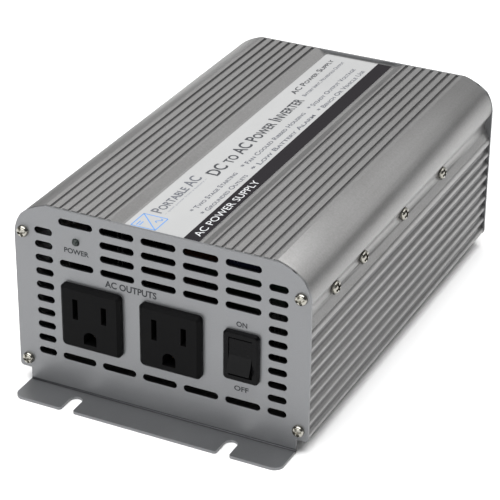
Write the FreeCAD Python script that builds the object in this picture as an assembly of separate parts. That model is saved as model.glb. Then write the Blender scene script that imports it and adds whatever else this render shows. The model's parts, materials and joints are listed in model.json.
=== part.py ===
import FreeCAD, Part
import math
import os

# A DC-to-AC power inverter, in millimetres.
# X runs along the front panel to the right, Y runs from the front panel into the case, Z is up.
# The origin is the centre of the footprint, on the surface that the feet stand on.

Vector = FreeCAD.Vector
X_AXIS = Vector(1, 0, 0)
Y_AXIS = Vector(0, 1, 0)
Z_AXIS = Vector(0, 0, 1)
ORIGIN = Vector(0, 0, 0)

# Case and end panels
BODY_LENGTH = 193.0            # front face of the front panel to rear face of the rear panel
FOOT_REACH = 14.5              # each foot beyond its panel
STUD_REACH = 24.5              # battery studs beyond the rear panel
FRONT = -(BODY_LENGTH + STUD_REACH - FOOT_REACH) / 2
REAR = FRONT + BODY_LENGTH
SHEET = 1.2                    # end panels and bottom plate
CASE_TOP = 81.4
CASE_BOTTOM = 6.6
CASE_HALF_WIDTH = 63.5
PANEL_HALF_WIDTH = 63.7
PANEL_TOP = 81.0
EAR_BOTTOM = 6.3
FOOT_HALF_WIDTH = 58.7
BEND_RADIUS = 0.5
FOOT_SLOT_X = 34.4
FOOT_SLOT_RADIUS = 2.75
FOOT_SLOT_DEPTH = 7.5          # mouth to the centre of the round end

# Ribs, label bed and side channel of the case
TOP_GROOVES = 7
TOP_GROOVE_FIRST = 23.0
TOP_GROOVE_PITCH = 3.97
TOP_GROOVE_RADIUS = 0.75
TOP_GROOVE_DEPTH = 1.1
BED_DEPTH = 1.8
BED_HALF_WIDTH = 17.4
BED_HALF_MOUTH = 21.3
SHOULDER_X = 49.3
CHANNEL_TOP = 67.5
CHANNEL_TURN = math.radians(40)
CHANNEL_LIP_RADIUS = 5.0
CHANNEL_RADIUS = 6.5
FLANK_TURN = math.radians(25)  # tilt of the straight flank under the channel
FLANK_BOTTOM = 54.0
RIB_COUNT = 8
RIB_PITCH = 5.44
RIB_DEPTH = 1.35
RIB_CREST_SHARE = 0.5          # of the pitch; the groove between two ribs takes the rest
FIRST_RIB_GROOVE = 48.9

# Vents
VENT_PITCH_X = 18.0
VENT_PITCH_Z = 6.0
VENT_TOP = 76.0
VENT_HEIGHT = 3.0
LONG_VENT = 15.0
SHORT_VENT = 8.0
SHORT_VENT_X = 50.5

# Screws
PANEL_SCREW_X = 59.7
PANEL_SCREW_HEIGHTS = (10.6, 68.0)
PANEL_SCREW_HEAD_RADIUS = 2.5
PANEL_SCREW_LENGTH = 11.0
SIDE_SCREW_DEPTHS = (27.2, 54.2, 95.4, 137.8)
SIDE_SCREW_HEAD_RADIUS = 2.75

# Outlets
OUTLET_CENTRES = {"left": -29.2, "right": 5.7}
OUTLET_Z = 36.4
OUTLET_WIDTH = 26.6
OUTLET_HEIGHT = 27.6
OUTLET_PROUD = 3.0
OUTLET_BODY_WIDTH = 24.2
OUTLET_BODY_HEIGHT = 25.2
OUTLET_DEPTH = 20.0
BLADE_SPACING = 12.7
BLADE_Z = 40.4
GROUND_Z = 28.6
GROUND_HOLE_RADIUS = 2.85
CONTACT_REACH = 27.5

# Rocker switch
SWITCH_X = 35.7
SWITCH_Z = 37.1
SWITCH_WIDTH = 15.0
SWITCH_HEIGHT = 21.5
SWITCH_PROUD = 2.0
SWITCH_DEPTH = 14.0
ROCKER_TRAVEL = 22.0           # degrees between ON and OFF
ROCKER_RADIUS = 8.1
ROCKER_HALF_WIDTH = 4.8
ROCKER_PIVOT_DEPTH = 1.0
SEESAW_TRAVEL = 12.0
SEESAW_DEPTH = 9.0

# Lamp
LAMP_X = -36.0
LAMP_Z = 68.5
LAMP_RADIUS = 1.5
LAMP_FLANGE_RADIUS = 1.9
LAMP_FLANGE_DEPTH = SHEET + 2.0

# Inside
PLATE_BOTTOM = 8.1
PLATE_TOP = PLATE_BOTTOM + SHEET
BOARD_BOTTOM = PLATE_TOP + 6.0
BOARD_TOP = BOARD_BOTTOM + 1.6
BOARD_HALF_WIDTH = 53.5
BOARD_START = 26.0
BOARD_END = 164.0
STANDOFF_X = 46.0
STANDOFF_DEPTHS = (32.0, 95.0, 152.0)
SPREADER_INNER = 54.0
SPREADER_OUTER = 57.0
SIDE_SCREW_TIP = SPREADER_INNER + 0.2   # just short of the spreader's inner face
SPREADER_BOTTOM = 20.0
SPREADER_TOP = 64.0
TRANSISTORS_PER_SIDE = 8
TRANSISTOR_FIRST = 30.0
TRANSISTOR_PITCH = 15.0
TRANSISTOR_BOTTOM = 30.0
PAD_THICKNESS = 0.3
TRANSISTOR_SCREW_Z = 43.3
FUSE_PLACES = (-33, -11, 11, 33)
INDUCTOR = Vector(-28, FRONT + 54, BOARD_TOP + 6.2)

# Fan
FAN_X = -24.0
FAN_Z = 44.2
FAN_SIZE = 60.0
FAN_DEPTH = 20.0
FAN_FRONT = REAR - SHEET - FAN_DEPTH
FAN_BORE = 28.6
FAN_HOLE_SPACING = 50.0
FAN_BLADES = 7
SHAFT_RADIUS = 1.5

# Battery terminals
TERMINAL_X = {"negative": 21.5, "positive": 47.3}   # clear of the way down to the foot slot
TERMINAL_Z = 44.0
TERMINAL_BASE_THICKNESS = 6.0
INSULATOR_FACE = 5.5           # inner face of the insulators, before the rear panel's rear face
WASHER_THICKNESS = 1.5
LUG_THICKNESS = 1.6
NUT_ACROSS_FLATS = 10.0
NUT_HEIGHT = 5.0
STUD_RADIUS = 3.0
STUD_RELIEF_START = TERMINAL_BASE_THICKNESS + WASHER_THICKNESS + NUT_HEIGHT
STUD_RELIEF_WIDTH = 1.2
STUD_RELIEF_RADIUS = 2.5
GROUND_SCREW = (35.0, 19.0)    # X and Z


def depth(distance):
    """Y of a place this far behind the front face of the front panel."""
    return FRONT + distance


def block(x_range, y_range, z_range):
    sizes = [high - low for low, high in (x_range, y_range, z_range)]
    return Part.makeBox(*sizes, Vector(x_range[0], y_range[0], z_range[0]))


def rod(start, direction, radius, length):
    return Part.makeCylinder(radius, length, Vector(*start), Vector(*direction))


def ring(start, direction, outer, inner, length):
    return rod(start, direction, outer, length).cut(rod(start, direction, inner, length))


def join(shapes):
    whole = shapes[0].multiFuse(shapes[1:]) if len(shapes) > 1 else shapes[0]
    return whole.removeSplitter()


def mirrored_x(shape):
    return shape.mirror(ORIGIN, X_AXIS)


def face_of(start, steps, place):
    """A closed flat face. Each step is an end point, or a middle point and an end point for an arc."""
    edges = []
    here = place(*start)
    for step in steps:
        there = place(*step[-1])
        if len(step) == 1:
            edges.append(Part.LineSegment(here, there).toShape())
        else:
            edges.append(Part.Arc(here, place(*step[0]), there).toShape())
        here = there
    edges.append(Part.LineSegment(here, place(*start)).toShape())
    return Part.Face(Part.Wire(edges))


def hexagon(start, direction, across_flats, length):
    """A hexagonal prism along X, Y or Z."""
    along = Vector(*direction)
    side = X_AXIS if abs(along.x) < 0.5 else Y_AXIS
    up = along.cross(side)
    radius = across_flats / math.sqrt(3)
    corners = []
    for k in range(7):
        turn = math.radians(60 * k)
        corners.append(Vector(*start) + side * radius * math.cos(turn) + up * radius * math.sin(turn))
    return Part.Face(Part.makePolygon(corners)).extrude(along * length)


def pan_screw(seat, outward, head_radius, head_height, shank_radius, length):
    """A domed screw with a crossed recess. Its shank runs from the seat against the outward axis."""
    out = Vector(*outward)
    start = Vector(*seat)
    head = Part.makeCylinder(head_radius, head_height, start, out)
    rim = [edge for edge in head.Edges if abs((edge.CenterOfMass - start).dot(out) - head_height) < 1e-6]
    head = head.makeFillet(0.75 * head_height, rim)
    side = X_AXIS if abs(out.x) < 0.5 else Y_AXIS
    recess_width = 0.22 * head_radius * 2
    for turn in (0, 90):
        bar = Part.makeBox(1.5 * head_radius, recess_width, head_height)
        bar.translate(Vector(-0.75 * head_radius, -recess_width / 2, 0.45 * head_height))
        bar.rotate(ORIGIN, Z_AXIS, turn + 20)
        bar.Placement = FreeCAD.Placement(start, FreeCAD.Rotation(Z_AXIS, out)).multiply(bar.Placement)
        head = head.cut(bar)
    shank = Part.makeCylinder(shank_radius, length, start, out * -1)
    return join([head, shank])


def lead(points, radius):
    """A round wire: straight runs joined by tangent arcs."""
    corners = [Vector(*point) for point in points]
    edges = []
    here = corners[0]
    for before, corner, after in zip(corners, corners[1:], corners[2:]):
        arriving = (corner - before).normalize()
        leaving = (after - corner).normalize()
        setback = 0.45 * min((corner - before).Length, (after - corner).Length)
        half_turn = arriving.getAngle(leaving) / 2
        bulge = setback / math.tan(half_turn) * (1 / math.cos(half_turn) - 1)
        start = corner - arriving * setback
        end = corner + leaving * setback
        middle = corner + (leaving - arriving).normalize() * bulge
        edges.append(Part.LineSegment(here, start).toShape())
        edges.append(Part.Arc(start, middle, end).toShape())
        here = end
    edges.append(Part.LineSegment(here, corners[-1]).toShape())
    section = Part.Wire(Part.Circle(corners[0], corners[1] - corners[0], radius).toShape())
    return Part.Wire(edges).makePipeShell([section], True, False)


def rounded_plate(x, z, width, height, corner, y_range):
    """A plate across Y with round corners."""
    low, high = y_range
    plate = block((x - width / 2, x + width / 2), y_range, (z - height / 2, z + height / 2))
    edges = [edge for edge in plate.Edges if abs(edge.Length - (high - low)) < 1e-6 and edge.tangentAt(0).y]
    return plate.makeFillet(corner, edges)


def vent(x, z, width):
    """A slot with round ends through the front panel."""
    start = FRONT - 1
    length = SHEET + 2
    radius = VENT_HEIGHT / 2
    reach = width / 2 - radius
    middle = block((x - reach, x + reach), (start, start + length), (z - radius, z + radius))
    ends = [rod((x + side * reach, start, z), (0, 1, 0), radius, length) for side in (-1, 1)]
    return join([middle] + ends)


# ---- case ----

def case_outline():
    """Right half of the extrusion's section, as a flat face at Y = 0."""
    lip = CHANNEL_LIP_RADIUS
    turn = CHANNEL_TURN
    lip_centre_x = CASE_HALF_WIDTH - lip
    enter = (lip_centre_x + lip * math.cos(turn), CHANNEL_TOP - lip * math.sin(turn))
    enter_middle = (lip_centre_x + lip * math.cos(turn / 2), CHANNEL_TOP - lip * math.sin(turn / 2))
    flank_x = channel_x() + CHANNEL_RADIUS * (1 - math.cos(FLANK_TURN))
    flank_top = (flank_x, channel_z() - CHANNEL_RADIUS * math.sin(FLANK_TURN))
    groove_x = CASE_HALF_WIDTH - RIB_DEPTH
    turn_x = CASE_HALF_WIDTH - RIB_DEPTH * RIB_CREST_SHARE
    half_groove = RIB_PITCH * (1 - RIB_CREST_SHARE) / 2
    steps = [
        ((BED_HALF_WIDTH, CASE_TOP - BED_DEPTH),),
        ((BED_HALF_MOUTH, CASE_TOP),),
        ((SHOULDER_X, CASE_TOP),),
        ((55.2, 79.1), (60.3, 75.6)),
        ((62.6, 71.7), (CASE_HALF_WIDTH, CHANNEL_TOP)),
        (enter_middle, enter),
        ((channel_x(), channel_z()), flank_top),
        ((turn_x, FLANK_BOTTOM),),
    ]
    crest_top = FLANK_BOTTOM
    for k in range(RIB_COUNT):
        groove = FIRST_RIB_GROOVE - k * RIB_PITCH
        crest_bottom = groove + half_groove
        steps.append(((CASE_HALF_WIDTH, (crest_top + crest_bottom) / 2), (turn_x, crest_bottom)))
        crest_top = groove - half_groove
        steps.append(((groove_x, groove), (turn_x, crest_top)))
    steps.append(((CASE_HALF_WIDTH, (crest_top + CASE_BOTTOM) / 2), (turn_x, CASE_BOTTOM)))
    inner = [
        (53.0, CASE_BOTTOM), (53.0, PLATE_BOTTOM), (56.2, PLATE_BOTTOM), (56.2, PLATE_TOP + 0.1),
        (53.0, PLATE_TOP + 0.1), (53.0, 11.2), (56.0, 11.2), (56.0, 13.9), (60.3, 13.9), (60.3, 46.0),
        (SPREADER_OUTER, 49.3), (SPREADER_OUTER, 64.0), (55.6, 65.4), (55.6, 73.5), (48.0, 77.4), (0.0, 77.4),
    ]
    steps += [(point,) for point in inner]
    return face_of((0, CASE_TOP - BED_DEPTH), steps, lambda x, z: Vector(x, 0, z))


def channel_z():
    """Height of the middle of the side channel."""
    return CHANNEL_TOP - (CHANNEL_LIP_RADIUS + CHANNEL_RADIUS) * math.sin(CHANNEL_TURN)


def channel_x():
    """X of the bottom of the side channel."""
    lip_centre_x = CASE_HALF_WIDTH - CHANNEL_LIP_RADIUS
    centre = lip_centre_x + (CHANNEL_LIP_RADIUS + CHANNEL_RADIUS) * math.cos(CHANNEL_TURN)
    return centre - CHANNEL_RADIUS


def ribbed_case():
    start = FRONT + SHEET
    length = BODY_LENGTH - 2 * SHEET
    half = case_outline().extrude(Y_AXIS * length)
    half.translate(Y_AXIS * start)
    whole = join([half, mirrored_x(half)])
    cutters = []
    for k in range(TOP_GROOVES):
        x = TOP_GROOVE_FIRST + k * TOP_GROOVE_PITCH
        bottom = CASE_TOP - TOP_GROOVE_DEPTH + TOP_GROOVE_RADIUS
        for side in (-1, 1):
            cutters.append(rod((side * x, start, bottom), (0, 1, 0), TOP_GROOVE_RADIUS, length))
            x_range = (side * x - TOP_GROOVE_RADIUS, side * x + TOP_GROOVE_RADIUS)
            cutters.append(block(x_range, (start, start + length), (bottom, CASE_TOP + 1)))
    for side in (-1, 1):
        for height in PANEL_SCREW_HEIGHTS:
            cutters.append(rod((side * PANEL_SCREW_X, start, height), (0, 1, 0), 1.45, 12))
            cutters.append(rod((side * PANEL_SCREW_X, start + length, height), (0, -1, 0), 1.45, 12))
        for distance in SIDE_SCREW_DEPTHS:
            place = (side * 50, depth(distance), channel_z())
            cutters.append(rod(place, (side, 0, 0), 1.7, 15))
            seat = (side * side_screw_seat(), depth(distance), channel_z())
            cutters.append(rod(seat, (side, 0, 0), 3.1, 4))
    return whole.cut(cutters)


def side_screw_seat():
    """X of the spot face that a side screw's head stands on."""
    return channel_x() + 0.2


def side_screws():
    screws = []
    for side in (-1, 1):
        for distance in SIDE_SCREW_DEPTHS:
            seat = (side * side_screw_seat(), depth(distance), channel_z())
            length = side_screw_seat() - SIDE_SCREW_TIP
            screws.append(pan_screw(seat, (side, 0, 0), SIDE_SCREW_HEAD_RADIUS, 2.0, 1.45, length))
    return screws


def bottom_plate():
    plate = block((-56, 56), (FRONT + SHEET, REAR - SHEET), (PLATE_BOTTOM, PLATE_TOP))
    holes = []
    for x, y in standoff_places():
        holes.append(Part.makeCone(2.75, 1.3, SHEET, Vector(x, y, PLATE_BOTTOM), Z_AXIS))
    return plate.cut(holes)


def name_label():
    bed = CASE_TOP - BED_DEPTH
    return rounded_label((-16, 16), (depth(2.0), depth(BODY_LENGTH - 2.5)), (bed, bed + 0.2))


def rounded_label(x_range, y_range, z_range):
    sheet = block(x_range, y_range, z_range)
    upright = [edge for edge in sheet.Edges if abs(edge.tangentAt(0).z) > 0.9]
    return sheet.makeFillet(1.0, upright)


# ---- end panels ----

def panel_blank():
    """The front panel before it is pierced: an upright sheet with ears, bent forward into a foot."""
    bend_top = SHEET + BEND_RADIUS
    half_steps = [
        ((FOOT_HALF_WIDTH, bend_top),),
        ((FOOT_HALF_WIDTH, EAR_BOTTOM),),
        ((62.4, EAR_BOTTOM),),
        ((63.3, EAR_BOTTOM + 0.4), (PANEL_HALF_WIDTH, EAR_BOTTOM + 1.3)),
        ((PANEL_HALF_WIDTH, 66.6),),
        ((62.7, 71.4), (60.6, 75.4)),
        ((55.3, 78.9), (49.5, PANEL_TOP)),
        ((0, PANEL_TOP),),
    ]
    half = face_of((0, bend_top), half_steps, lambda x, z: Vector(x, FRONT, z)).extrude(Y_AXIS * SHEET)
    centre_y = FRONT - BEND_RADIUS
    diagonal = math.sqrt(0.5)
    outer = SHEET + BEND_RADIUS
    bend_steps = [
        ((centre_y + outer * diagonal, bend_top - outer * diagonal), (centre_y, 0)),
        ((FRONT - FOOT_REACH, 0),),
        ((FRONT - FOOT_REACH, SHEET),),
        ((centre_y, SHEET),),
        ((centre_y + BEND_RADIUS * diagonal, bend_top - BEND_RADIUS * diagonal), (FRONT, bend_top)),
    ]
    bend = face_of((FRONT + SHEET, bend_top), bend_steps, lambda y, z: Vector(-FOOT_HALF_WIDTH, y, z))
    foot = bend.extrude(X_AXIS * 2 * FOOT_HALF_WIDTH)
    blank = join([half, mirrored_x(half), foot])
    front_edge = FRONT - FOOT_REACH
    blank = fillet_uprights(blank, 4.0, [(side * FOOT_HALF_WIDTH, front_edge) for side in (-1, 1)])
    slots = []
    mouths = []
    for side in (-1, 1):
        x = side * FOOT_SLOT_X
        slots.append(rod((x, front_edge + FOOT_SLOT_DEPTH, -1), (0, 0, 1), FOOT_SLOT_RADIUS, SHEET + 2))
        x_range = (x - FOOT_SLOT_RADIUS, x + FOOT_SLOT_RADIUS)
        slots.append(block(x_range, (front_edge - 1, front_edge + FOOT_SLOT_DEPTH), (-1, SHEET + 1)))
        mouths += [(x_range[0], front_edge), (x_range[1], front_edge)]
    return fillet_uprights(blank.cut(slots), 1.2, mouths)


def fillet_uprights(shape, radius, places):
    """Round the short upright edges that stand at these X, Y places."""
    chosen = []
    for edge in shape.Edges:
        centre = edge.CenterOfMass
        near = any(abs(centre.x - x) + abs(centre.y - y) < 1e-3 for x, y in places)
        if near and abs(edge.Length - SHEET) < 1e-3:
            chosen.append(edge)
    return shape.makeFillet(radius, chosen)


def vent_places():
    """Centre and width of every vent: five columns of long slots, and a column of short ones each side."""
    bottom_row = 10
    places = []
    for column in range(-2, 3):
        for row in (0, 1, 2, 3, bottom_row):
            lamp_is_here = column == -2 and row in (1, 2)
            if not lamp_is_here:
                places.append((column * VENT_PITCH_X, VENT_TOP - row * VENT_PITCH_Z, LONG_VENT))
    for side in (-1, 1):
        for row in range(1, bottom_row + 1):
            places.append((side * SHORT_VENT_X, VENT_TOP - row * VENT_PITCH_Z, SHORT_VENT))
    return places


def front_panel():
    through = (FRONT - 1, FRONT + SHEET + 1)
    cutters = [vent(*place) for place in vent_places()]
    for x in OUTLET_CENTRES.values():
        half_width = OUTLET_BODY_WIDTH / 2 + 0.1
        half_height = OUTLET_BODY_HEIGHT / 2 + 0.1
        z_range = (OUTLET_Z - half_height, OUTLET_Z + half_height)
        cutters.append(block((x - half_width, x + half_width), through, z_range))
    cutters.append(block((SWITCH_X - 6.5, SWITCH_X + 6.5), through, (SWITCH_Z - 9.6, SWITCH_Z + 9.6)))
    cutters.append(rod((LAMP_X, through[0], LAMP_Z), (0, 1, 0), LAMP_RADIUS + 0.15, SHEET + 2))
    for side in (-1, 1):
        for height in PANEL_SCREW_HEIGHTS:
            cutters.append(rod((side * PANEL_SCREW_X, through[0], height), (0, 1, 0), 1.6, SHEET + 2))
    return panel_blank().cut(cutters)


def rear_panel():
    blank = panel_blank().mirror(Vector(0, (FRONT + REAR) / 2, 0), Y_AXIS)
    start = REAR - SHEET - 1
    length = SHEET + 2
    cutters = []
    for side in (-1, 1):
        for height in PANEL_SCREW_HEIGHTS:
            cutters.append(rod((side * PANEL_SCREW_X, start, height), (0, 1, 0), 1.6, length))
    for x in TERMINAL_X.values():
        cutters.append(rod((x, start, TERMINAL_Z), (0, 1, 0), 6.0, length))
    cutters.append(rod((GROUND_SCREW[0], start, GROUND_SCREW[1]), (0, 1, 0), 2.05, length))
    cutters += fan_grille_openings(start, length)
    for x, z in fan_screw_places():
        cutters.append(rod((x, start, z), (0, 1, 0), 2.2, length))
    return blank.cut(cutters)


def fan_grille_openings(start, length):
    """Four rings of openings around the fan's hub, crossed by four spokes."""
    place = (FAN_X, start, FAN_Z)
    spokes = []
    for turn in (45, 135):
        bar = block((FAN_X - 40, FAN_X + 40), (start, start + length), (FAN_Z - 1.6, FAN_Z + 1.6))
        bar.rotate(Vector(*place), Y_AXIS, turn)
        spokes.append(bar)
    openings = []
    for k in range(4):
        inner = 9.5 + k * 4.6
        openings.append(ring(place, (0, 1, 0), inner + 3.2, inner, length).cut(spokes))
    return openings


def panel_screws():
    screws = []
    for side in (-1, 1):
        for height in PANEL_SCREW_HEIGHTS:
            for face_y, outward in ((FRONT, -1), (REAR, 1)):
                seat = (side * PANEL_SCREW_X, face_y, height)
                head = PANEL_SCREW_HEAD_RADIUS
                screws.append(pan_screw(seat, (0, outward, 0), head, 1.8, 1.4, PANEL_SCREW_LENGTH))
    return screws


# ---- outlets ----

def outlet_housing(x):
    bezel = rounded_plate(x, OUTLET_Z, OUTLET_WIDTH, OUTLET_HEIGHT, 2.0, (FRONT - OUTLET_PROUD, FRONT))
    front_rim = [edge for edge in bezel.Edges if abs(edge.CenterOfMass.y - FRONT + OUTLET_PROUD) < 1e-6]
    bezel = bezel.makeChamfer(1.3, front_rim)
    half_width = OUTLET_BODY_WIDTH / 2
    half_height = OUTLET_BODY_HEIGHT / 2
    z_range = (OUTLET_Z - half_height, OUTLET_Z + half_height)
    body = block((x - half_width, x + half_width), (FRONT, depth(OUTLET_DEPTH)), z_range)
    latches = [outlet_latch(x, side) for side in (-1, 1)]
    housing = join([bezel, body] + latches)
    front = FRONT - OUTLET_PROUD - 1
    cavity_start = depth(2.0)
    slot_end = depth(3.0)
    cutters = []
    for side, height in ((-1, 9.0), (1, 7.6)):
        blade_x = x + side * BLADE_SPACING / 2
        z_range = (BLADE_Z - height / 2, BLADE_Z + height / 2)
        cutters.append(block((blade_x - 1.15, blade_x + 1.15), (front, slot_end), z_range))
        cavity_z = (BLADE_Z - 5.4, BLADE_Z + 5.4)
        cutters.append(block((blade_x - 2.5, blade_x + 2.5), (cavity_start, depth(OUTLET_DEPTH)), cavity_z))
    cutters.append(rod((x, front, GROUND_Z), (0, 1, 0), GROUND_HOLE_RADIUS, slot_end - front))
    x_range = (x - GROUND_HOLE_RADIUS, x + GROUND_HOLE_RADIUS)
    cutters.append(block(x_range, (front, slot_end), (GROUND_Z - GROUND_HOLE_RADIUS, GROUND_Z)))
    ground_z = (GROUND_Z - 3.6, GROUND_Z + 3.6)
    cutters.append(block((x - 3.6, x + 3.6), (cavity_start, depth(OUTLET_DEPTH)), ground_z))
    return housing.cut(cutters)


def outlet_latch(x, side):
    """A wedge on the housing's side that snaps behind the panel."""
    wall = x + side * OUTLET_BODY_WIDTH / 2
    points = [(wall, depth(SHEET)), (wall + side * 1.0, depth(SHEET)), (wall, depth(SHEET + 4.5))]
    corners = [Vector(px, py, OUTLET_Z - 4) for px, py in points]
    return Part.Face(Part.makePolygon(corners + corners[:1])).extrude(Z_AXIS * 8)


def blade_contact(x):
    """A folded brass spring: two leaves that grip a plug's blade, a base and a solder tab."""
    leaves = []
    for side in (-1, 1):
        x_range = sorted((x + side * 0.9, x + side * 1.4))
        leaves.append(block(x_range, (depth(5), depth(18.4)), (BLADE_Z - 4, BLADE_Z + 4)))
    base = block((x - 2.5, x + 2.5), (depth(18.4), depth(19.2)), (BLADE_Z - 5.4, BLADE_Z + 5.4))
    tab = block((x - 0.4, x + 0.4), (depth(19.2), depth(CONTACT_REACH)), (BLADE_Z - 3.1, BLADE_Z + 3.1))
    return join(leaves + [base, tab])


def ground_contact(x):
    leaves = []
    for side in (-1, 1):
        z_range = sorted((GROUND_Z + side * 2.65, GROUND_Z + side * 3.15))
        leaves.append(block((x - 2.5, x + 2.5), (depth(4), depth(18.4)), z_range))
    base = block((x - 3.6, x + 3.6), (depth(18.4), depth(19.2)), (GROUND_Z - 3.6, GROUND_Z + 3.6))
    tab = block((x - 3.1, x + 3.1), (depth(19.2), depth(CONTACT_REACH)), (GROUND_Z - 0.4, GROUND_Z + 0.4))
    return join(leaves + [base, tab])


# ---- switch ----

def switch_pivot():
    return Vector(SWITCH_X, depth(ROCKER_PIVOT_DEPTH), SWITCH_Z)


def switch_housing():
    bezel_y = (FRONT - SWITCH_PROUD, FRONT)
    bezel = rounded_plate(SWITCH_X, SWITCH_Z, SWITCH_WIDTH, SWITCH_HEIGHT, 1.8, bezel_y)
    front_rim = [edge for edge in bezel.Edges if abs(edge.CenterOfMass.y - FRONT + SWITCH_PROUD) < 1e-6]
    bezel = bezel.makeChamfer(0.7, front_rim)
    body_y = (FRONT, depth(SWITCH_DEPTH))
    body = block((SWITCH_X - 6.4, SWITCH_X + 6.4), body_y, (SWITCH_Z - 9.5, SWITCH_Z + 9.5))
    housing = join([bezel, body])
    half_height = ROCKER_RADIUS + 0.25
    cavity_z = (SWITCH_Z - half_height, SWITCH_Z + half_height)
    cutters = [block((SWITCH_X - 5, SWITCH_X + 5), (FRONT - SWITCH_PROUD - 1, depth(12.5)), cavity_z)]
    pivot = switch_pivot()
    cutters.append(rod((SWITCH_X - 6.4, pivot.y, pivot.z), (1, 0, 0), 1.25, 12.8))
    for height in terminal_heights():
        z_range = (height - 0.4, height + 0.4)
        cutters.append(block((SWITCH_X - 2.2, SWITCH_X + 2.2), (depth(12.5), depth(SWITCH_DEPTH)), z_range))
    return housing.cut(cutters)


def switch_rocker():
    """The key: a shallow V face with curved ends, turning on two stub pins. Rest is ON, top end pressed."""
    pivot = switch_pivot()
    corner = math.radians(60.1)
    end = math.radians(95)
    middle = (corner + end) / 2
    radius = ROCKER_RADIUS

    def place(out, up):
        return Vector(SWITCH_X - ROCKER_HALF_WIDTH, pivot.y - out, pivot.z + up)

    def on_arc(angle, side):
        return (radius * math.cos(angle), side * radius * math.sin(angle))

    valley = 2.67
    steps = [
        (on_arc(corner, 1),),
        (on_arc(middle, 1), on_arc(end, 1)),
        ((-3.5, 4.5),),
        ((-3.5, -4.5),),
        (on_arc(end, -1),),
        (on_arc(middle, -1), on_arc(corner, -1)),
    ]
    key = face_of((valley, 0), steps, place).extrude(X_AXIS * 2 * ROCKER_HALF_WIDTH)
    pins = rod((SWITCH_X - 6.2, pivot.y, pivot.z), (1, 0, 0), 1.2, 12.4)
    bore = rod((SWITCH_X, pivot.y + 0.2, pivot.z), (0, 1, 0), 1.3, 4)
    return at_on(join([key, pins]).cut(bore))


def at_on(shape):
    """Turn a piece of the rocker from mid-travel to its rest place, ON."""
    shape.rotate(switch_pivot(), X_AXIS, -ROCKER_TRAVEL / 2)
    return shape


def switch_spring():
    pivot = switch_pivot()
    return at_on(ring((SWITCH_X, pivot.y + 0.2, pivot.z), (0, 1, 0), 1.2, 0.75, 2.2))


def switch_plunger():
    pivot = switch_pivot()
    tip_start = pivot.y + 2.4
    shank = rod((SWITCH_X, tip_start, pivot.z), (0, 1, 0), 1.2, 3.9)
    tip = Part.makeCone(1.2, 0.5, 0.9, Vector(SWITCH_X, tip_start + 3.9, pivot.z), Y_AXIS)
    return at_on(join([shank, tip]))


def switch_seesaw():
    """The contact bar that the plunger tips from one terminal to the other."""
    middle = Vector(SWITCH_X, depth(SEESAW_DEPTH), SWITCH_Z)
    y_range = (middle.y - 0.4, middle.y + 0.4)
    bar = block((SWITCH_X - 2, SWITCH_X + 2), y_range, (SWITCH_Z - 5.8, SWITCH_Z + 5.8))
    bar.rotate(middle, X_AXIS, SEESAW_TRAVEL / 2)
    return bar


def terminal_heights():
    return (SWITCH_Z - 5.5, SWITCH_Z, SWITCH_Z + 5.5)


def switch_terminals():
    tabs = []
    for height in terminal_heights():
        middle = height == SWITCH_Z
        start = depth(SEESAW_DEPTH + 0.55) if middle else depth(11.1)
        x_range = (SWITCH_X - 2.2, SWITCH_X + 2.2)
        tab = block(x_range, (start, depth(22)), (height - 0.4, height + 0.4))
        if not middle:
            pad = block(x_range, (depth(10.4), depth(11.1)), (height - 1.2, height + 1.2))
            tab = join([tab, pad])
        tabs.append(tab)
    return tabs


# ---- lamp ----

def power_lamp():
    place = (LAMP_X, depth(0), LAMP_Z)
    dome = Part.makeSphere(LAMP_RADIUS, Vector(*place))
    barrel = rod(place, (0, 1, 0), LAMP_RADIUS, LAMP_FLANGE_DEPTH)
    flange = rod((LAMP_X, depth(LAMP_FLANGE_DEPTH), LAMP_Z), (0, 1, 0), LAMP_FLANGE_RADIUS, 1.0)
    return join([dome, barrel, flange])


def lamp_holder():
    """A collar behind the panel that the lamp is pushed into."""
    collar = ring((LAMP_X, depth(SHEET), LAMP_Z), (0, 1, 0), 3.2, LAMP_RADIUS, 2.0)
    back_start = (LAMP_X, depth(LAMP_FLANGE_DEPTH), LAMP_Z)
    back = ring(back_start, (0, 1, 0), 3.2, LAMP_FLANGE_RADIUS, 1.6)
    return join([collar, back])


# ---- boards and what stands on them ----

def standoff_places():
    return [(side * STANDOFF_X, depth(distance)) for side in (-1, 1) for distance in STANDOFF_DEPTHS]


def insulating_sheet():
    sheet = block((-52.5, 52.5), (depth(3), depth(168)), (PLATE_TOP, PLATE_TOP + 0.4))
    return sheet.cut([rod((x, y, PLATE_TOP), (0, 0, 1), 4.0, 1) for x, y in standoff_places()])


def board_standoffs():
    standoffs = []
    for x, y in standoff_places():
        post = hexagon((x, y, PLATE_TOP), (0, 0, 1), 5.5, BOARD_BOTTOM - PLATE_TOP)
        standoffs.append(post.cut(rod((x, y, PLATE_TOP), (0, 0, 1), 1.25, BOARD_BOTTOM - PLATE_TOP)))
    return standoffs


def plate_screws():
    screws = []
    for x, y in standoff_places():
        head = Part.makeCone(2.7, 1.2, SHEET, Vector(x, y, PLATE_BOTTOM), Z_AXIS)
        slot = block((x - 2, x + 2), (y - 0.35, y + 0.35), (PLATE_BOTTOM, PLATE_BOTTOM + 0.6))
        shank = rod((x, y, PLATE_TOP), (0, 0, 1), 1.2, 4.0)
        screws.append(join([head.cut(slot), shank]))
    return screws


def board_screws():
    return [pan_screw((x, y, BOARD_TOP), (0, 0, 1), 2.7, 1.8, 1.2, 3.2) for x, y in standoff_places()]


def main_board():
    x_range = (-BOARD_HALF_WIDTH, BOARD_HALF_WIDTH)
    board = block(x_range, (depth(BOARD_START), depth(BOARD_END)), (BOARD_BOTTOM, BOARD_TOP))
    return board.cut([rod((x, y, BOARD_BOTTOM), (0, 0, 1), 1.6, 2) for x, y in standoff_places()])


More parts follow.
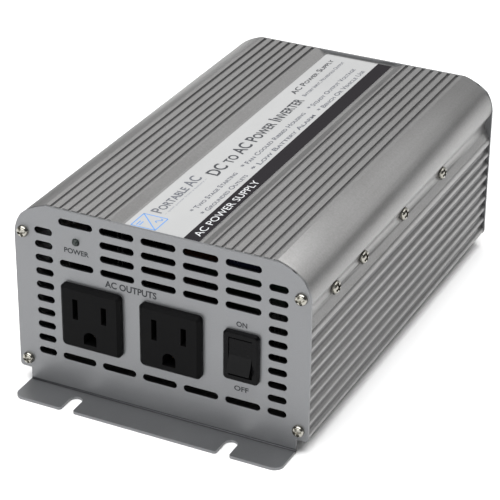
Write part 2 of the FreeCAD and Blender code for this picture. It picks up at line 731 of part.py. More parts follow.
def transformer_core(x, y):
    """An E-shaped ferrite pair around two windows."""
    base = BOARD_TOP + 1.0
    body = block((x - 19, x + 19), (y - 10, y + 10), (base, base + 36))
    windows = []
    for side in (-1, 1):
        x_range = sorted((x + side * 6, x + side * 14))
        windows.append(block(x_range, (y - 10, y + 10), (base + 5.5, base + 30.5)))
    return body.cut(windows)


def transformer_winding(x, y):
    """The coil former with its winding around the core's middle leg, on four pins."""
    base = BOARD_TOP + 1.0
    coil = block((x - 13.9, x + 13.9), (y - 16, y + 16), (base + 5.5, base + 30.5))
    upright = [edge for edge in coil.Edges if abs(edge.tangentAt(0).z) > 0.9]
    coil = coil.makeFillet(3.0, upright)
    coil = coil.cut(block((x - 6, x + 6), (y - 10, y + 10), (base, base + 36)))
    pins = []
    for pin_x in (x - 8, x + 8):
        for pin_y in (y - 13.5, y + 13.5):
            pins.append(rod((pin_x, pin_y, BOARD_TOP), (0, 0, 1), 0.8, 7.0))
    return join([coil] + pins)


def inductor_core():
    return Part.makeTorus(11, 5.0, INDUCTOR, Z_AXIS)


def inductor_winding():
    """The wound wire over the ring core, as one sleeve with a gap between its two ends."""
    sleeve = Part.makeTorus(11, 6.2, INDUCTOR, Z_AXIS).cut(inductor_core())
    gap = block((INDUCTOR.x, INDUCTOR.x + 20), (INDUCTOR.y - 2.5, INDUCTOR.y + 2.5), (0, 60))
    return sleeve.cut(gap)


def capacitor(x, y, radius, height):
    """A can with a rolled groove near its foot and a pressed cross on its top."""
    can = rod((x, y, BOARD_TOP), (0, 0, 1), radius, height)
    rims = [edge for edge in can.Edges if edge.Curve.TypeId == "Part::GeomCircle"]
    can = can.makeFillet(0.8, rims)
    cutters = [Part.makeTorus(radius + 0.6, 1.1, Vector(x, y, BOARD_TOP + 3.2), Z_AXIS)]
    top = BOARD_TOP + height
    cutters.append(block((x - radius * 0.6, x + radius * 0.6), (y - 0.3, y + 0.3), (top - 0.4, top)))
    cutters.append(block((x - 0.3, x + 0.3), (y - radius * 0.6, y + radius * 0.6), (top - 0.4, top)))
    return can.cut(cutters)


def input_capacitors():
    return [capacitor(x, depth(122), 8.0, 30.0) for x in (-40, -20, 0, 20, 40)]


def fuse_holders():
    holders = []
    for x in FUSE_PLACES:
        y_range = (depth(142.5), depth(149.5))
        body = block((x - 9.5, x + 9.5), y_range, (BOARD_TOP, BOARD_TOP + 9))
        pocket = block((x - 7, x + 7), (depth(144.5), depth(147.5)), (BOARD_TOP + 2, BOARD_TOP + 9))
        holders.append(body.cut(pocket))
    return holders


def fuses():
    """Blade fuses: a moulded top over two flat blades."""
    pieces = []
    for x in FUSE_PLACES:
        z = BOARD_TOP + 9
        top = block((x - 9.2, x + 9.2), (depth(143.5), depth(148.5)), (z, z + 9))
        blades = []
        for side in (-1, 1):
            x_range = sorted((x + side * 1.6, x + side * 6.6))
            blades.append(block(x_range, (depth(145.65), depth(146.35)), (z - 6.5, z)))
        pieces.append(join([top] + blades))
    return pieces


def control_board():
    return block((2, 45), (depth(36), depth(37.6)), (BOARD_TOP, BOARD_TOP + 34))


def control_chips():
    chips = []
    for x in (11, 24, 37):
        y_range = (depth(37.6), depth(40.6))
        chips.append(block((x - 4.5, x + 4.5), y_range, (BOARD_TOP + 10, BOARD_TOP + 29)))
    return chips


def alarm_buzzer():
    can = rod((38, depth(54), BOARD_TOP), (0, 0, 1), 6, 9.5)
    return can.cut(rod((38, depth(54), BOARD_TOP + 7.5), (0, 0, 1), 1.0, 3))


# ---- heat spreaders and transistors ----

def transistor_places():
    return [depth(TRANSISTOR_FIRST + k * TRANSISTOR_PITCH) for k in range(TRANSISTORS_PER_SIDE)]


def heat_spreader():
    """Right-hand aluminium bar that carries the heat of the transistors into the case wall."""
    x_range = (SPREADER_INNER, SPREADER_OUTER)
    bar = block(x_range, (depth(18), depth(147)), (SPREADER_BOTTOM, SPREADER_TOP))
    holes = [rod((SPREADER_INNER, y, TRANSISTOR_SCREW_Z), (1, 0, 0), 1.25, 3) for y in transistor_places()]
    for distance in SIDE_SCREW_DEPTHS:
        holes.append(rod((SPREADER_INNER, depth(distance), channel_z()), (1, 0, 0), 1.5, 3))
    return bar.cut(holes)


def transistor(y):
    """Right-hand power transistor: moulded body, metal tab with a hole, and three legs to the board."""
    back = SPREADER_INNER - PAD_THICKNESS
    z = TRANSISTOR_BOTTOM
    body = block((back - 4.4, back), (y - 5, y + 5), (z, z + 9))
    tab = block((back - 1.3, back), (y - 5, y + 5), (z + 9, z + 15.6))
    tab = tab.cut(rod((back - 2, y, TRANSISTOR_SCREW_Z), (1, 0, 0), 1.8, 3))
    legs = []
    for k in (-1, 0, 1):
        y_range = (y + 2.54 * k - 0.4, y + 2.54 * k + 0.4)
        legs.append(block((back - 2.8, back - 2.3), y_range, (BOARD_TOP, z)))
    return join([body, tab] + legs)


def insulating_pad(y):
    x_range = (SPREADER_INNER - PAD_THICKNESS, SPREADER_INNER)
    pad = block(x_range, (y - 6, y + 6), (TRANSISTOR_BOTTOM - 1, TRANSISTOR_BOTTOM + 17))
    return pad.cut(rod((SPREADER_INNER - 1, y, TRANSISTOR_SCREW_Z), (1, 0, 0), 1.8, 2))


def transistor_screw(y):
    seat = (SPREADER_INNER - PAD_THICKNESS - 1.3, y, TRANSISTOR_SCREW_Z)
    return pan_screw(seat, (-1, 0, 0), 2.6, 1.8, 1.2, 4.0)


def on_both_sides(make):
    """One piece at every transistor place, right and left."""
    pieces = [make(y) for y in transistor_places()]
    return pieces + [mirrored_x(piece) for piece in pieces]


# ---- fan ----

def fan_screw_places():
    half = FAN_HOLE_SPACING / 2
    return [(FAN_X + side * half, FAN_Z + up * half) for side in (-1, 1) for up in (-1, 1)]


def fan_frame():
    """A square frame with a round duct, and a hub plate on four spokes at its inner face."""
    outer = rounded_plate(FAN_X, FAN_Z, FAN_SIZE, FAN_SIZE, 3.0, (FAN_FRONT, FAN_FRONT + FAN_DEPTH))
    frame = outer.cut(rod((FAN_X, FAN_FRONT, FAN_Z), (0, 1, 0), FAN_BORE, FAN_DEPTH))
    frame = frame.cut([rod((x, FAN_FRONT, z), (0, 1, 0), 2.1, FAN_DEPTH) for x, z in fan_screw_places()])
    hub = rod((FAN_X, FAN_FRONT, FAN_Z), (0, 1, 0), 13.0, 2.5)
    tube = rod((FAN_X, FAN_FRONT, FAN_Z), (0, 1, 0), 4.4, 12.0)
    spokes = []
    for turn in (20, 110, 200, 290):
        x_range = (FAN_X + 12, FAN_X + FAN_BORE + 1)
        spoke = block(x_range, (FAN_FRONT, FAN_FRONT + 2.5), (FAN_Z - 2, FAN_Z + 2))
        spoke.rotate(Vector(FAN_X, FAN_FRONT, FAN_Z), Y_AXIS, turn)
        spokes.append(spoke)
    bearing_seat = rod((FAN_X, FAN_FRONT + 2.5, FAN_Z), (0, 1, 0), 3.2, 10)
    return join([frame, hub, tube] + spokes).cut(bearing_seat)


def fan_bearing():
    return ring((FAN_X, FAN_FRONT + 2.5, FAN_Z), (0, 1, 0), 3.2, SHAFT_RADIUS + 0.03, 9.5)


def fan_stator():
    """The wound motor core pressed on the bearing tube, with six teeth."""
    body = ring((FAN_X, FAN_FRONT + 4, FAN_Z), (0, 1, 0), 11.4, 4.4, 7.0)
    slots = []
    for k in range(6):
        slot = block((FAN_X + 7, FAN_X + 13), (FAN_FRONT + 4, FAN_FRONT + 11), (FAN_Z - 1, FAN_Z + 1))
        slot.rotate(Vector(FAN_X, FAN_FRONT, FAN_Z), Y_AXIS, 60 * k)
        slots.append(slot)
    return body.cut(slots)


def fan_rotor():
    """A cup over the stator with a shaft inside and pitched blades outside."""
    cup = rod((FAN_X, FAN_FRONT + 3.5, FAN_Z), (0, 1, 0), 13.3, 15.0)
    cup = cup.cut(rod((FAN_X, FAN_FRONT + 3.5, FAN_Z), (0, 1, 0), 12.2, 13.5))
    shaft = rod((FAN_X, FAN_FRONT + 3.2, FAN_Z), (0, 1, 0), SHAFT_RADIUS, 14.0)
    sweep = ring((FAN_X, FAN_FRONT + 4.0, FAN_Z), (0, 1, 0), FAN_BORE - 0.8, 12.8, 14.0)
    blades = []
    for k in range(FAN_BLADES):
        blade = block((12, FAN_BORE), (-9.5, 9.5), (-0.6, 0.6))
        blade.rotate(ORIGIN, X_AXIS, 48)
        blade.translate(Vector(FAN_X, FAN_FRONT + 11, FAN_Z))
        blade.rotate(Vector(FAN_X, FAN_FRONT + 11, FAN_Z), Y_AXIS, 360 * k / FAN_BLADES)
        blades.append(blade.common(sweep))
    return join([cup, shaft] + blades)


def fan_screws():
    return [pan_screw((x, REAR, z), (0, 1, 0), 3.6, 2.0, 1.95, 12) for x, z in fan_screw_places()]


# ---- battery terminals and case ground ----

def terminal_base(x):
    """The coloured insulator outside the rear panel, with a neck through it."""
    flange = rod((x, REAR, TERMINAL_Z), (0, 1, 0), 9.0, TERMINAL_BASE_THICKNESS)
    outer_face = REAR + TERMINAL_BASE_THICKNESS
    rim = [edge for edge in flange.Edges if abs(edge.CenterOfMass.y - outer_face) < 1e-6]
    flange = flange.makeFillet(1.2, rim)
    neck = rod((x, REAR - INSULATOR_FACE, TERMINAL_Z), (0, 1, 0), 5.9, INSULATOR_FACE)
    bore = rod((x, REAR - 6, TERMINAL_Z), (0, 1, 0), STUD_RADIUS + 0.05, 13)
    grips = []
    for k in range(16):
        grip = rod((x + 9.5, REAR - 1, TERMINAL_Z), (0, 1, 0), 0.9, 8)
        grip.rotate(Vector(x, REAR, TERMINAL_Z), Y_AXIS, 360 * k / 16)
        grips.append(grip)
    return join([flange, neck]).cut([bore] + grips)


def terminal_insulators():
    rings = []
    for x in TERMINAL_X.values():
        start = (x, REAR - INSULATOR_FACE, TERMINAL_Z)
        rings.append(ring(start, (0, 1, 0), 8.5, 5.95, INSULATOR_FACE - SHEET))
    return rings


def terminal_studs():
    studs = []
    for x in TERMINAL_X.values():
        stud = rod((x, REAR - 14.5, TERMINAL_Z), (0, 1, 0), STUD_RADIUS, 14.5 + STUD_REACH)
        tips = [edge for edge in stud.Edges if edge.Curve.TypeId == "Part::GeomCircle"]
        relief_start = (x, REAR + STUD_RELIEF_START, TERMINAL_Z)
        relief = ring(relief_start, (0, 1, 0), STUD_RADIUS + 1, STUD_RELIEF_RADIUS, STUD_RELIEF_WIDTH)
        studs.append(stud.makeChamfer(0.5, tips).cut(relief))
    return studs


def terminal_nuts_and_washers():
    """One nut outside and one inside on each stud, and a washer under each outer nut."""
    base_face = REAR + TERMINAL_BASE_THICKNESS
    inner_nut = REAR - INSULATOR_FACE - LUG_THICKNESS - NUT_HEIGHT
    pieces = []
    for x in TERMINAL_X.values():
        for start in (base_face + WASHER_THICKNESS, inner_nut):
            nut = hexagon((x, start, TERMINAL_Z), (0, 1, 0), NUT_ACROSS_FLATS, NUT_HEIGHT)
            pieces.append(nut.cut(rod((x, start, TERMINAL_Z), (0, 1, 0), STUD_RADIUS + 0.02, NUT_HEIGHT)))
        washer_start = (x, base_face, TERMINAL_Z)
        pieces.append(ring(washer_start, (0, 1, 0), 6.2, STUD_RADIUS + 0.2, WASHER_THICKNESS))
    return pieces


def battery_leads():
    """Thick leads from ring lugs on the studs to the board."""
    leads = []
    for x in TERMINAL_X.values():
        lug_y = REAR - INSULATOR_FACE - LUG_THICKNESS
        lug = ring((x, lug_y, TERMINAL_Z), (0, 1, 0), 6.5, STUD_RADIUS + 0.1, LUG_THICKNESS)
        neck_z = (TERMINAL_Z - 11, TERMINAL_Z - 5.5)
        neck = block((x - 2.5, x + 2.5), (lug_y, lug_y + LUG_THICKNESS), neck_z)
        y = lug_y + LUG_THICKNESS / 2
        end_y = depth(161)
        points = [(x, y, TERMINAL_Z - 10), (x, y, 25), (x, end_y, 25), (x, end_y, BOARD_TOP)]
        leads.append(join([lug, neck, lead(points, 2.2)]))
    return leads


def ground_screw():
    x, z = GROUND_SCREW
    washer = rod((x, REAR, z), (0, 1, 0), 4.6, 0.8)
    return join([pan_screw((x, REAR + 0.8, z), (0, 1, 0), 3.6, 2.6, 2.0, 9), washer])


# ---- wires ----

def outlet_wires():
    wires = []
    for x in OUTLET_CENTRES.values():
        ends = [(x - BLADE_SPACING / 2, BLADE_Z), (x + BLADE_SPACING / 2, BLADE_Z), (x, GROUND_Z)]
        for wire_x, z in ends:
            turn_y = depth(31.5)
            points = [(wire_x, depth(CONTACT_REACH), z), (wire_x, turn_y, z), (wire_x, turn_y, BOARD_TOP)]
            wires.append(lead(points, 0.9))
    return wires


def control_wires():
    """Thin wires of the switch, the lamp and the fan."""
    wires = []
    for height, turn in zip(terminal_heights(), (25.9, 28.9, 31.9)):
        turn_y = depth(turn + 1)
        points = [(SWITCH_X, depth(22), height), (SWITCH_X, turn_y, height), (SWITCH_X, turn_y, BOARD_TOP)]
        wires.append(lead(points, 0.8))
    for x in (LAMP_X - 1.0, LAMP_X + 1.0):
        points = [(x, depth(4.5), LAMP_Z), (x, depth(34.4), LAMP_Z), (x, depth(34.4), BOARD_TOP)]
        wires.append(lead(points, 0.5))
    for x in (0.0, 2.5):
        points = [(x, FAN_FRONT, 26), (x, depth(160), 26), (x, depth(160), BOARD_TOP)]
        wires.append(lead(points, 0.7))
    return wires


def save(node, pieces):
    """Write one node, a single solid or a group of identical or related solids."""
    solids = pieces if isinstance(pieces, list) else [pieces]
    found = [solid for piece in solids for solid in piece.Solids]
    if len(found) != len(solids):
        raise ValueError(node + " has " + str(len(found)) + " solids, not " + str(len(solids)))
    if not all(solid.isValid() for solid in found):
        raise ValueError(node + " is not valid")
    shape = found[0] if len(found) == 1 else Part.makeCompound(found)
    shape.exportStep("parts/" + node + ".step")


def main():
    os.makedirs("parts", exist_ok=True)
    save("ribbed_case", ribbed_case())
    save("bottom_plate", bottom_plate())
    save("front_panel", front_panel())
    save("rear_panel", rear_panel())
    save("panel_screws", panel_screws())
    save("side_screws", side_screws())
    save("name_label", name_label())
    for side, x in OUTLET_CENTRES.items():
        save("outlet_" + side + "_housing", outlet_housing(x))
        save("outlet_" + side + "_neutral_contact", blade_contact(x - BLADE_SPACING / 2))
        save("outlet_" + side + "_line_contact", blade_contact(x + BLADE_SPACING / 2))
        save("outlet_" + side + "_ground_contact", ground_contact(x))
    save("switch_housing", switch_housing())
    save("switch_rocker", switch_rocker())
    save("switch_spring", switch_spring())
    save("switch_plunger", switch_plunger())
    save("switch_seesaw", switch_seesaw())
    save("switch_terminals", switch_terminals())
    save("power_lamp", power_lamp())
    save("lamp_holder", lamp_holder())
    save("insulating_sheet", insulating_sheet())
    save("board_standoffs", board_standoffs())
    save("plate_screws", plate_screws())
    save("board_screws", board_screws())
    save("main_board", main_board())
    for name, x in (("left", -23), ("right", 21)):
        save("transformer_" + name + "_core", transformer_core(x, depth(94)))
        save("transformer_" + name + "_winding", transformer_winding(x, depth(94)))
    save("inductor_core", inductor_core())
    save("inductor_winding", inductor_winding())
    save("input_capacitors", input_capacitors())
    save("bus_capacitor", capacitor(14, depth(54), 11.0, 42.0))
    save("heat_spreader_right", heat_spreader())
    save("heat_spreader_left", mirrored_x(heat_spreader()))
    save("insulating_pads", on_both_sides(insulating_pad))
    save("transistors", on_both_sides(transistor))
    save("transistor_screws", on_both_sides(transistor_screw))
    save("fuse_holders", fuse_holders())
    save("fuses", fuses())
    save("control_board", control_board())
    save("control_chips", control_chips())
    save("alarm_buzzer", alarm_buzzer())
    save("fan_frame", fan_frame())
    save("fan_bearing", fan_bearing())
    save("fan_stator", fan_stator())
    save("fan_rotor", fan_rotor())
    save("fan_screws", fan_screws())
    for name, x in TERMINAL_X.items():
        save(name + "_terminal_base", terminal_base(x))
    save("terminal_insulators", terminal_insulators())
    save("terminal_studs", terminal_studs())
    save("terminal_nuts_and_washers", terminal_nuts_and_washers())
    save("battery_leads", battery_leads())
    save("ground_screw", ground_screw())
    save("outlet_wires", outlet_wires())
    save("control_wires", control_wires())


main()
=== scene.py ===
import json
import math

import bmesh
import bpy
from mathutils import Matrix, Vector


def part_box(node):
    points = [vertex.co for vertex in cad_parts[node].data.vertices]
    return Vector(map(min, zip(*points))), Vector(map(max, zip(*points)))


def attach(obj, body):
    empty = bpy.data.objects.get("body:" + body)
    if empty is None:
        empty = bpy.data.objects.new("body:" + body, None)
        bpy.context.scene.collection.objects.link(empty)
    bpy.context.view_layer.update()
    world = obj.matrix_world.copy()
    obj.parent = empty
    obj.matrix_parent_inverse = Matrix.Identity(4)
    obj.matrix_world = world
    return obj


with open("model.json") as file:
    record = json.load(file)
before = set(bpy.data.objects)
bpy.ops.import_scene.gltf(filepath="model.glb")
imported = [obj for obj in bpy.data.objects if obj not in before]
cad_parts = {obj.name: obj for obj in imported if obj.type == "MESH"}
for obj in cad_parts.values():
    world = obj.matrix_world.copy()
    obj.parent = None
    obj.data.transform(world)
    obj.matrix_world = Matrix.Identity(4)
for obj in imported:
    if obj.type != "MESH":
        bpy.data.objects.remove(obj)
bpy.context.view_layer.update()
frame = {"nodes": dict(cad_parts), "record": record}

# The looks of a power inverter, in metres, in the CAD model's own frame:
# X to the right along the front panel, Y from the front panel to the rear one, Z up.

MM = 0.001
BODY = "inverter_body"
WHITE = (1.0, 1.0, 1.0)

# Faces of the CAD model that the looks are laid out from
SHEET = 1.2 * MM
case_low, case_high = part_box("ribbed_case")
label_low, label_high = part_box("name_label")
FRONT = case_low.y - SHEET
REAR = case_high.y + SHEET

# Camera
CAMERA_TARGET = Vector((0.0357, -0.0957, 0.0799))
CAMERA_DISTANCE = 0.75
CAMERA_AZIMUTH = math.radians(25.82)
CAMERA_ELEVATION = math.radians(28.19)
CAMERA_ROLL = math.radians(0.54)
CAMERA_LENS = 145.73
CAMERA_SENSOR = 36
CAMERA_NEAREST = 0.01

# Stage: sizes in metres, light power in watts
FLOOR_HALF = 4
FLOOR_COLOUR = (0.93, 0.93, 0.93)
FLOOR_ROUGHNESS = 0.8
WORLD_COLOUR = (0.97, 0.98, 1.0)
WORLD_STRENGTH = 0.10
LIGHTS_AIM = Vector((0, 0, 0.04))
SOFTBOXES = [
    # name, place, width and height, power
    ("front_softbox", (-0.4, -1.8, 0.70), (2.0, 0.9), 22),
    ("rear_right_softbox", (0.85, 1.4, 1.10), (2.4, 0.9), 8.0),
    ("rear_left_softbox", (-1.0, 1.35, 1.10), (1.3, 0.9), 4.3),
    ("top_softbox", (0.0, -0.1, 1.9), (2.4, 2.0), 78),
]

# Grain of each surface, as its size in mm along X, Y and Z
DIE_LINES = (0.22, 60.0, 0.22)
DIE_BANDS = (1.6, 240.0, 1.6)
METAL_GRAIN = (0.28, 0.28, 0.28)
METAL_SPECKLE = (0.8, 1.0, 0.8)
HAND_SMUDGES = (26.0, 34.0, 26.0)
PAINT_PEEL = (0.55, 0.55, 0.55)
PAINT_SPECKS = (0.13, 0.13, 0.13)
PAINT_CLOUDS = (30.0, 30.0, 22.0)
PLASTIC_DUST = (7.0, 7.0, 7.0)
PLATE_PATCHES = (1.4, 1.4, 1.4)
PLATE_SCRATCHES = (0.12, 1.2, 0.12)
FILM_FIBRE = (0.3, 1.1, 0.3)
FILM_CLOUDS = (18.0, 24.0, 18.0)
INK_FILM = (0.25, 0.25, 0.25)
LENS_HAZE = (0.5, 0.5, 0.5)
BOARD_TRACKS = (3.0, 3.0, 3.0)
WIRE_TURNS = (0.5, 0.5, 0.5)

# At this scale Blender's wave texture has one band in each unit of its coordinates
ONE_BAND_PER_UNIT = 0.314

# How far painted shade darkens hidden places of the metal: the ribs' grooves, and the panels' holes and
# bends
GROOVE_SHADE = (0.62, 0.62, 0.63)
EDGE_SHADE = (0.25, 0.25, 0.26)

# Where the shade in the ribs' grooves fades in or out: pairs of places, lower one first
SIDE_GROOVES = (case_high.x - 1.3 * MM, case_high.x - 0.1 * MM)
SIDE_WALL = (case_high.x - 1.6 * MM, case_high.x - 1.5 * MM)
SIDE_RIBS_TOP = (50 * MM, 52 * MM)
TOP_GROOVES = (case_high.z - 1.0 * MM, case_high.z - 0.1 * MM)
TOP_RIBS_INNER = (21.8 * MM, 22.0 * MM)
TOP_RIBS_OUTER = (48.2 * MM, 48.6 * MM)

# Where the shade on the panels' cut edges and bends fades in or out
BEHIND_FRONT = (FRONT + 0.15 * MM, FRONT + 0.35 * MM)
BEFORE_REAR = (REAR - 0.35 * MM, REAR - 0.15 * MM)
PANEL_OUTLINE_SIDE = (57.0 * MM, 57.5 * MM)
PANEL_OUTLINE_TOP = (78.5 * MM, 79.0 * MM)
BEND_TOP = (1.7 * MM, 2.0 * MM)
FRONT_BEND = (FRONT - 0.9 * MM, FRONT - 0.5 * MM)
REAR_BEND = (REAR + 0.5 * MM, REAR + 0.9 * MM)

# Edges sharper than this angle are rounded, on the nodes that are seen, by a width in mm
SHARP_ANGLE = math.radians(35)
BEVEL_SEGMENTS = 2
WELD_GAP = 0.001 * MM
SOFT_EDGES = {
    "ribbed_case": 0.3,
    "front_panel": 0.25,
    "rear_panel": 0.25,
    "outlet_left_housing": 0.35,
    "outlet_right_housing": 0.35,
    "switch_housing": 0.3,
    "switch_rocker": 0.45,
    "panel_screws": 0.1,
    "side_screws": 0.1,
    "terminal_nuts_and_washers": 0.3,
    "fan_frame": 0.3,
    "fan_screws": 0.1,
    "ground_screw": 0.1,
    "terminal_studs": 0.1,
}

# Inks: colour and gloss
INKS = {
    "ink_panel": ((0.022, 0.023, 0.026), 0.2),
    "ink_title": ((0.035, 0.037, 0.042), 0.2),
    "ink_grey": ((0.10, 0.105, 0.12), 0.2),
    "ink_faint": ((0.22, 0.23, 0.25), 0.2),
    "ink_blue": ((0.10, 0.24, 0.52), 0.2),
    "ink_white": ((0.55, 0.56, 0.57), 0.2),
    "ink_stripe": ((0.011, 0.0095, 0.0115), 0.08),
}

# Printing. Ink is this far above its face, and a weight widens the letters' strokes.
WORDS_LIFT = 0.02 * MM
STRIPE_LIFT = 0.015 * MM
STRIPE_WORDS_LIFT = 0.03 * MM
LABEL_WEIGHT = 0.018
PANEL_WEIGHT = 0.028
STRIPE_WEIGHT = -0.004
SMALL_CAPS = 0.74
CURVE_STEPS = 4

# The faces that are printed on: along the words, up across them, and the material slot there
PANEL_FACE = (Vector((1, 0, 0)), Vector((0, 0, 1)), "panel_metal")
LABEL_FACE = (Vector((0, 1, 0)), Vector((-1, 0, 0)), "label_film")

# The dark stripe of the label, in mm: its left edge, what it leaves bare at the label's right
# edge, and the middle and size of its words, the middle as X and distance from the front
STRIPE_LEFT = 9.2
STRIPE_MARGIN = 0.05
STRIPE_WORDS_PLACE = (12.7, 33)
STRIPE_WORDS_SIZE = (52, 3.2)

PANEL_WORDS = [
    # name, words, width and height, X and Z of the middle, in mm
    ("word_power", "POWER", (11.0, 2.3), (-35.8, 64.3)),
    ("word_outputs", "AC OUTPUTS", (22.6, 3.0), (-12.2, 53.6)),
    ("word_on", "ON", (4.6, 2.3), (35.4, 50.7)),
    ("word_off", "OFF", (6.2, 2.3), (35.4, 22.3)),
]

LABEL_LINES = [
    # name, words, start and end from the front in mm, X of the top and the foot in mm, ink, small caps
    ("title", "DC to AC Power Inverter", (56, 139), (-8.9, -3.1), "ink_title", True),
    ("maker_line", "Portable AC", (17, 52), (-12.6, -7.6), "ink_grey", True),
    ("maker_note", "~ quiet power from a battery ~", (17, 52), (-6.6, -5.4), "ink_faint", False),
    ("feature_1", "* Two Stage Starting", (24, 62), (0.6, 3.0), "ink_grey", True),
    ("feature_2", "* Grounded Outlets", (24, 62), (5.2, 7.6), "ink_grey", True),
    ("feature_3", "* Fan Cooled Ribbed Housing", (68, 127), (0.6, 3.0), "ink_grey", True),
    ("feature_4", "* Low Battery Alarm", (68, 127), (5.2, 7.6), "ink_grey", True),
    ("feature_5", "* Steady Output Voltage", (132, 180), (0.6, 3.0), "ink_grey", True),
    ("feature_6", "* Bench Or Vehicle Use", (132, 180), (5.2, 7.6), "ink_grey", True),
    ("series", "AC Power Supply", (143, 185), (-12.4, -9.6), "ink_title", True),
    ("series_note", "Battery Input, Household Output", (143, 185), (-6.6, -4.4), "ink_grey", True),
]

# The converter sign on the label, in mm about its middle
SYMBOL_MIDDLE = (-8.4, 9.0)
SYMBOL_LINE = 0.5
SYMBOL_HALF = 5.2
SYMBOL_BARS = (-4.2, -0.8)
SYMBOL_BAR_HEIGHTS = (3.4, 2.2)
WAVE_START = (0.6, -2.8)
WAVE_LENGTH = 3.6
WAVE_HEIGHT = 1.0
WAVE_STEPS = 16


# ---- node helpers ----

class Shading:
    """A new material with one Principled shader, and short ways to add nodes to it."""

    def __init__(self, name, colour, roughness, metallic=0.0):
        self.material = bpy.data.materials.new(name)
        self.material.use_nodes = True
        self.nodes = self.material.node_tree.nodes
        self.links = self.material.node_tree.links
        self.shader = self.nodes["Principled BSDF"]
        self.shader.inputs["Base Color"].default_value = (*colour, 1)
        self.shader.inputs["Roughness"].default_value = roughness
        self.shader.inputs["Metallic"].default_value = metallic
        self.place = self.nodes.new("ShaderNodeTexCoord").outputs["Object"]

    def add(self, kind, **settings):
        node = self.nodes.new(kind)
        for name, value in settings.items():
            setattr(node, name, value)
        return node

    def link(self, source, target):
        self.links.new(source, target)

    def set(self, name, source):
        self.link(source, self.shader.inputs[name])

    def scaled(self, sizes_mm):
        """Object coordinates divided by these sizes, so that noise of scale 1 has that grain."""
        mapping = self.add("ShaderNodeMapping")
        mapping.inputs["Scale"].default_value = [1 / (size * MM) for size in sizes_mm]
        self.link(self.place, mapping.inputs["Vector"])
        return mapping.outputs["Vector"]

    def noise(self, sizes_mm, detail=3.0, rough=0.55):
        texture = self.add("ShaderNodeTexNoise")
        texture.inputs["Scale"].default_value = 1.0
        texture.inputs["Detail"].default_value = detail
        texture.inputs["Roughness"].default_value = rough
        self.link(self.scaled(sizes_mm), texture.inputs["Vector"])
        return texture.outputs["Fac"]

    def ramp(self, source, low, high, start=0.3, end=0.7):
        """Map a value from start..end to low..high."""
        mapping = self.add("ShaderNodeMapRange")
        mapping.inputs["From Min"].default_value = start
        mapping.inputs["From Max"].default_value = end
        mapping.inputs["To Min"].default_value = low
        mapping.inputs["To Max"].default_value = high
        self.link(source, mapping.inputs["Value"])
        return mapping.outputs["Result"]

    def rise(self, source, span):
        """0 below the span and 1 above it."""
        return self.ramp(source, 0, 1, *span)

    def fall(self, source, span):
        """1 below the span and 0 above it."""
        return self.ramp(source, 1, 0, *span)

    def colours(self, source, dark, light, start=0.3, end=0.7):
        """Blend two colours by a value."""
        ramp = self.add("ShaderNodeValToRGB")
        ramp.color_ramp.elements[0].position = start
        ramp.color_ramp.elements[0].color = (*dark, 1)
        ramp.color_ramp.elements[1].position = end
        ramp.color_ramp.elements[1].color = (*light, 1)
        self.link(source, ramp.inputs["Fac"])
        return ramp.outputs["Color"]

    def combined(self, operation, first, second):
        node = self.add("ShaderNodeMath", operation=operation)
        self.link(first, node.inputs[0])
        self.link(second, node.inputs[1])
        return node.outputs[0]

    def product(self, first, second):
        return self.combined("MULTIPLY", first, second)

    def larger(self, first, second):
        return self.combined("MAXIMUM", first, second)

    def darkened(self, colour, *shades_over_it):
        """A colour multiplied by one or more others."""
        for shade in shades_over_it:
            node = self.add("ShaderNodeMix", data_type="RGBA", blend_type="MULTIPLY")
            node.inputs["Factor"].default_value = 1.0
            self.link(colour, node.inputs["A"])
            self.link(shade, node.inputs["B"])
            colour = node.outputs["Result"]
        return colour

    def bump(self, source, depth_mm, before=None):
        node = self.add("ShaderNodeBump")
        node.inputs["Strength"].default_value = 1.0
        node.inputs["Distance"].default_value = depth_mm * MM
        self.link(source, node.inputs["Height"])
        if before is not None:
            self.link(before, node.inputs["Normal"])
        return node.outputs["Normal"]

    def position(self):
        """Distance from the middle to either side, place along Y, and height, in metres."""
        split = self.add("ShaderNodeSeparateXYZ")
        self.link(self.place, split.inputs["Vector"])
        sideways = self.add("ShaderNodeMath", operation="ABSOLUTE")
        self.link(split.outputs["X"], sideways.inputs[0])
        return sideways.outputs[0], split.outputs["Y"], split.outputs["Z"]


def scaled_colour(colour, share):
    return [channel * share for channel in colour]


def shades(colour, spread):
    """A darker and a lighter version of a colour."""
    return scaled_colour(colour, 1 - spread), scaled_colour(colour, 1 + spread)


# ---- materials ----

def groove_depth(look):
    """0 on the case's outer skin and 1 at the bottom of the ribs' grooves, where painted shade darkens the
    metal.
    """
    across, _, height = look.position()
    side_depth = look.fall(across, SIDE_GROOVES)
    side_reach = look.product(look.rise(across, SIDE_WALL), look.fall(height, SIDE_RIBS_TOP))
    top_depth = look.fall(height, TOP_GROOVES)
    top_reach = look.product(look.rise(across, TOP_RIBS_INNER), look.fall(across, TOP_RIBS_OUTER))
    return look.larger(look.product(side_depth, side_reach), look.product(top_depth, top_reach))


